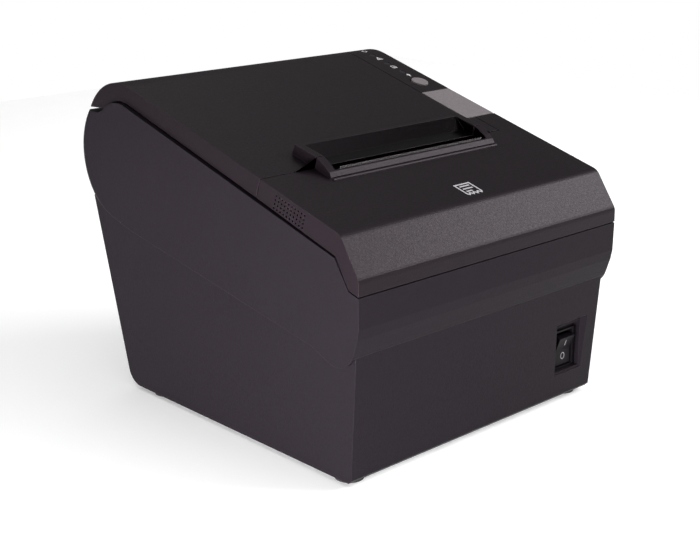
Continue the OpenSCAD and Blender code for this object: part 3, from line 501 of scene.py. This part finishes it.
def finish_node(node, material, bevel_mm):
    """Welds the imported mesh, rounds its edges and gives it its material."""
    node.data.materials.clear()
    node.data.materials.append(material)
    weld = node.modifiers.new("weld", "WELD")
    weld.merge_threshold = SAME_POINT
    flat = node.modifiers.new("flatten", "DECIMATE")
    flat.decimate_type = "DISSOLVE"
    flat.angle_limit = SAME_PLANE
    bevel = node.modifiers.new("bevel", "BEVEL")
    bevel.width = bevel_mm * MM
    bevel.segments = BEVEL_SEGMENTS
    bevel.limit_method = "ANGLE"
    bevel.angle_limit = BEVEL_FROM
    bevel.harden_normals = False
    shade = node.modifiers.new("shade", "WEIGHTED_NORMAL")
    shade.keep_sharp = True
    shade.weight = FACE_WEIGHT


def finish_cad(materials):
    slots = {part["node"]: part["material_slot"] for part in frame["record"]["subparts"]}
    for name, node in nodes.items():
        finish_node(node, materials[slots[name]], BEVELS.get(slots[name], OTHER_BEVEL))


# ---------------------------------------------------------------- flat outlines, in millimetres

SHARPEST_MITRE = 0.3


def bar(x0, y0, x1, y1):
    return [(x0, y0), (x1, y0), (x1, y1), (x0, y1)]


def arc(radius, angles):
    return [(radius * math.cos(angle), radius * math.sin(angle)) for angle in angles]


def oval(radius, squash, count=28):
    """Upright oval: its half height, and its width as a share of its height."""
    angles = [math.tau * i / count for i in range(count)]
    return [(x * squash, y) for x, y in arc(radius, angles)]


def arc_band(outer, inner, start, end, count=20):
    angles = [math.radians(start + (end - start) * i / count) for i in range(count + 1)]
    return arc(outer, angles) + arc(inner, angles[::-1])


def rounded_box(half_wide, half_tall, radius):
    quarters = ((1, 1, 0), (-1, 1, 90), (-1, -1, 180), (1, -1, 270))
    return [(side * (half_wide - radius) + radius * math.cos(math.radians(angle)),
             end * (half_tall - radius) + radius * math.sin(math.radians(angle)))
            for side, end, first in quarters for angle in range(first, first + 91, 15)]


def shrunk(outline, margin):
    """The outline moved inwards by margin, corner by corner; it runs anticlockwise."""
    result = []
    count = len(outline)
    for i in range(count):
        before, here, after = (Vector(outline[(i + k) % count]) for k in (-1, 0, 1))
        first, second = (here - before).normalized(), (after - here).normalized()
        inwards = Vector((-first.y, first.x))
        left = (inwards + Vector((-second.y, second.x))).normalized()
        result.append(tuple(here + left * (margin / max(SHARPEST_MITRE, left.dot(inwards)))))
    return result


def power_mark():
    return [arc_band(1.35, 0.92, 125, 415), bar(-0.22, 0.3, 0.22, 1.55)]


def warning_mark():
    edge = [(-1.8, -1.2), (1.8, -1.2), (0, 1.6)]
    stroke, dot = bar(-0.18, -0.25, 0.18, 0.55), bar(-0.18, -0.75, 0.18, -0.42)
    return [(edge, shrunk(edge, 0.36)), stroke, dot]


def sheet_mark():
    edge = [(-1.3, -1.3), (1.3, -1.3), (1.3, 0.6), (0.6, 1.3), (-1.3, 1.3)]
    lines = [bar(-0.65, low, 0.65, low + 0.26) for low in (-0.7, -0.08)]
    return [(edge, shrunk(edge, 0.34))] + lines


def feed_mark():
    stem, shoulder, half = 0.32, 0.1, 1.35
    return [[(-stem, -1.3), (stem, -1.3), (stem, shoulder), (half, shoulder), (0, 1.4),
             (-half, shoulder), (-stem, shoulder)]]


def receipt_mark():
    """A blank till receipt with a torn lower edge and three lines, the last one short."""
    half, top, notch, tip = 4.4, 4.2, -3.2, -4.4
    teeth = 4
    pitch = 2 * half / teeth
    edge = []
    for i in range(teeth):
        edge += [(-half + i * pitch, notch), (-half + (i + 0.5) * pitch, tip)]
    edge += [(half, notch), (half, top), (-half, top)]
    reach, short, thick = 2.7, 0.6, 0.8
    lines = [bar(-reach, low, end, low + thick)
             for low, end in ((1.9, reach), (0, reach), (-1.9, short))]
    return [(edge, shrunk(edge, 0.75))] + lines


# ---------------------------------------------------------------- making pieces

PRINT_LOW = -0.03
PRINT_HIGH = 0.035


def surface_frame(name, start, direction, up):
    """Frame on a node's surface, where a line from start meets it: Z out of it, Y nearest to up."""
    mesh = nodes[name].data
    faces = [tuple(polygon.vertices) for polygon in mesh.polygons]
    tree = BVHTree.FromPolygons([vertex.co for vertex in mesh.vertices], faces)
    spot, normal, _, _ = tree.ray_cast(Vector(start), Vector(direction))
    across = Vector(up).cross(normal).normalized()
    turn = Matrix((across, normal.cross(across), normal)).transposed().to_4x4()
    return Matrix.Translation(spot) @ turn


def join_loops(bm, first, second):
    """Band of faces between two loops with the same number of points."""
    for i in range(len(first)):
        j = (i + 1) % len(first)
        bm.faces.new((first[i], first[j], second[j], second[i]))


def slab(bm, outer, low, high, inner=None):
    """Closed flat piece between two heights; with inner, a frame whose hole has as many corners."""
    def loop(points, z):
        return [bm.verts.new((x * MM, y * MM, z * MM)) for x, y in points]

    top, bottom = loop(outer, high), loop(outer, low)
    join_loops(bm, bottom, top)
    if inner:
        inner_top, inner_bottom = loop(inner, high), loop(inner, low)
        join_loops(bm, inner_top, inner_bottom)
        join_loops(bm, top, inner_top)
        join_loops(bm, inner_bottom, bottom)
    else:
        bm.faces.new(top)
        bm.faces.new(bottom[::-1])


def finish_piece(name, bm, place, body, material):
    bmesh.ops.recalc_face_normals(bm, faces=bm.faces)
    mesh = bpy.data.meshes.new(name)
    bm.to_mesh(mesh)
    bm.free()
    mesh.transform(place)
    mesh.materials.append(material)
    piece = bpy.data.objects.new(name, mesh)
    scene.collection.objects.link(piece)
    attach(piece, body)
    return piece


def printed(name, shapes, place, body, material):
    """A mark of flat shapes, each an outline or a pair of outline and hole, in millimetres."""
    bm = bmesh.new()
    for shape in shapes:
        outer, inner = shape if isinstance(shape, tuple) else (shape, None)
        slab(bm, outer, PRINT_LOW, PRINT_HIGH, inner)
    finish_piece(name, bm, place, body, material)


# ---------------------------------------------------------------- marks

STRIP_MARKS = {"power": power_mark, "error": warning_mark, "paper": sheet_mark}
BEHIND_LENS = 4.9 * MM
BEHIND_KEY = 7.1 * MM
FEED_MARK_ASIDE = 0.0006
ABOVE_STRIP = 0.05


def add_strip_marks(ink):
    for name, shapes in STRIP_MARKS.items():
        start = centre(name + "_lens") + Vector((0, BEHIND_LENS, ABOVE_STRIP))
        place = surface_frame("control_panel", start, DOWN, REAR)
        printed(name + "_mark", shapes(), place, "casing", ink)
    start = centre("feed_button") + Vector((FEED_MARK_ASIDE, BEHIND_KEY, ABOVE_STRIP))
    place = surface_frame("control_panel", start, DOWN, REAR)
    printed("feed_mark", feed_mark(), place, "casing", ink)


COVER_MARK_ASIDE = 0.002
COVER_MARK_FORWARD = 0.0045
ABOVE_COVER = 0.2


def add_cover_mark(ink):
    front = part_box("front_cover")[0][1]
    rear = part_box("tear_bar")[0][1]
    start = (COVER_MARK_ASIDE, (front + rear) / 2 - COVER_MARK_FORWARD, ABOVE_COVER)
    place = surface_frame("front_cover", start, DOWN, REAR)
    printed("receipt_mark", receipt_mark(), place, "casing", ink)


# Each switch mark's height over the rocker's pivot in metres, and its shapes in millimetres.
SWITCH_MARKS = {
    "switch_on_mark": (0.0026, [bar(-0.2, -1.45, 0.2, 1.45)]),
    "switch_off_mark": (-0.0034, [(oval(1.55, 0.85), oval(1.15, 0.78))]),
}
BEFORE_SWITCH = 0.02


def add_switch_marks(ink):
    across = centre("power_rocker").x
    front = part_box("power_rocker")[0][1]
    pivot = Vector(joints["rocker_tilt"]["pos_m"])
    for name, (rise, shapes) in SWITCH_MARKS.items():
        start = (across, front - BEFORE_SWITCH, pivot.z + rise)
        place = surface_frame("power_rocker", start, REAR, UP)
        printed(name, shapes, place, "power_switch", ink)


# ---------------------------------------------------------------- contacts in the sockets

PIN_SIDES = 12
# Share of a pin's length and share of its radius at each of its rings.
PIN_PROFILE = ((0, 0.8), (0.12, 1), (0.88, 1), (1, 0.6))

# Modular sockets: number of wires, and each wire's ends as y and z from the mouth's upper edge.
WIRE_COUNTS = {"lan_port": 8, "drawer_port": 6}
WIRE_PITCH = 1.02
WIRE_RADIUS = 0.22
WIRE_ROOT = (-9.0, -3.4)
WIRE_TIP = (-2.0, -6.2)

# USB socket: four contacts, across from its middle and over the board's upper face.
USB_ACROSS = (-1.25, 1.25)
USB_RISE = (3.85, 7.15)
USB_ROOT = -7.0
USB_TIP = -1.6
USB_RADIUS = 0.3


def add_contacts(port, pins, place, radius, gold):
    """Straight pins between pairs of points, in millimetres, each a closed prism."""
    bm = bmesh.new()
    circle = [math.tau * i / PIN_SIDES for i in range(PIN_SIDES)]
    for start, end in pins:
        start, end = Vector(start) * MM, Vector(end) * MM
        turn = (end - start).to_track_quat("Z", "Y").to_matrix().to_4x4()
        rings = []
        for share, width in PIN_PROFILE:
            height = (end - start).length * share
            spots = [Vector((x, y, height)) for x, y in arc(radius * MM * width, circle)]
            rings.append([bm.verts.new(start + turn @ spot) for spot in spots])
        for lower, upper in zip(rings, rings[1:]):
            join_loops(bm, lower, upper)
        bm.faces.new(rings[0][::-1])
        bm.faces.new(rings[-1])
    finish_piece(port + "_contacts", bm, place, "casing", gold)


def add_wire_contacts(port, count, gold):
    """The gold wires in a modular socket, which slope down from its back towards its mouth."""
    low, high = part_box(port)
    place = Matrix.Translation(((low[0] + high[0]) / 2, high[1], high[2]))
    across = [(i - (count - 1) / 2) * WIRE_PITCH for i in range(count)]
    wires = [((x, *WIRE_ROOT), (x, *WIRE_TIP)) for x in across]
    add_contacts(port, wires, place, WIRE_RADIUS, gold)


def add_usb_contacts(gold):
    low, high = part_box("usb_port")
    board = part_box("main_board")[1][2]
    place = Matrix.Translation(((low[0] + high[0]) / 2, high[1], board))
    pins = [((x, USB_ROOT, z), (x, USB_TIP, z)) for x in USB_ACROSS for z in USB_RISE]
    add_contacts("usb_port", pins, place, USB_RADIUS, gold)


# ---------------------------------------------------------------- label and springs

# The label's measures are in millimetres; its place under the base is in metres.
LABEL_HALF = (26, 16)
LABEL_CORNER = 1.5
LABEL_LOW, LABEL_HIGH = -0.02, 0.08
LABEL_INK_LOW, LABEL_INK_HIGH = 0.07, 0.10
LABEL_FRAME_IN = 2
LABEL_FRAME_WIDE = 0.3
LABEL_ROWS = 5
LABEL_RULE_IN = 5
LABEL_RULE_WIDE = 0.25
LABEL_FORWARD = 0.010
BELOW_BASE = 0.02


def add_base_label(paper, ink):
    """A blank label with ruled lines, stuck in the recess under the base."""
    low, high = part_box("base_plate")
    start = (0, (low[1] + high[1]) / 2 - LABEL_FORWARD, low[2] - BELOW_BASE)
    place = surface_frame("base_plate", start, UP, REAR)
    wide, tall = LABEL_HALF
    bm = bmesh.new()
    slab(bm, rounded_box(wide, tall, LABEL_CORNER), LABEL_LOW, LABEL_HIGH)
    finish_piece("base_label", bm, place, "casing", paper)

    frame_wide, frame_tall = wide - LABEL_FRAME_IN, tall - LABEL_FRAME_IN
    outer = rounded_box(frame_wide, frame_tall, LABEL_CORNER)
    inner = rounded_box(frame_wide - LABEL_FRAME_WIDE, frame_tall - LABEL_FRAME_WIDE,
                        LABEL_CORNER - LABEL_FRAME_WIDE)
    end = wide - LABEL_RULE_IN
    bm = bmesh.new()
    slab(bm, outer, LABEL_INK_LOW, LABEL_INK_HIGH, inner)
    for row in range(1, LABEL_ROWS):
        height = -frame_tall + row * 2 * frame_tall / LABEL_ROWS
        slab(bm, bar(-end, height, end, height + LABEL_RULE_WIDE), LABEL_INK_LOW, LABEL_INK_HIGH)
    finish_piece("base_label_print", bm, place, "casing", ink)


def add_head_springs(steel):
    """The two pressure springs, as a smooth-shaded copy of the CAD node that stays fixed to the casing; the real
    springs shorten as the print head tilts back.
    """
    bm = bmesh.new()
    bm.from_mesh(nodes["head_springs"].data)
    bmesh.ops.remove_doubles(bm, verts=bm.verts, dist=SAME_POINT)
    for face in bm.faces:
        face.smooth = True
    piece = finish_piece("pressure_springs", bm, Matrix.Identity(4), "casing", steel)
    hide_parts("head_springs")
    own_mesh(piece)


# ---------------------------------------------------------------- the whole scene

add_camera()
add_studio()
materials = make_materials()
finish_cad(materials)
tear_steel = sheet_metal("tear_steel", (0.13, 0.12, 0.125), 0.42)
nodes["tear_bar"].data.materials[0] = tear_steel
add_strip_marks(printed_ink("white_ink", (0.62, 0.60, 0.62)))
add_cover_mark(printed_ink("grey_ink", (0.50, 0.48, 0.50)))
add_switch_marks(printed_ink("switch_ink", (0.26, 0.25, 0.26)))
add_head_springs(materials["turned_steel"])
gold = sheet_metal("contact_gold", (0.83, 0.62, 0.28), 0.25, (1, 30, 30))
for port, count in WIRE_COUNTS.items():
    add_wire_contacts(port, count, gold)
add_usb_contacts(gold)
add_base_label(label_stock("label_paper", (0.60, 0.60, 0.58)),
               printed_ink("black_ink", (0.02, 0.02, 0.02)))
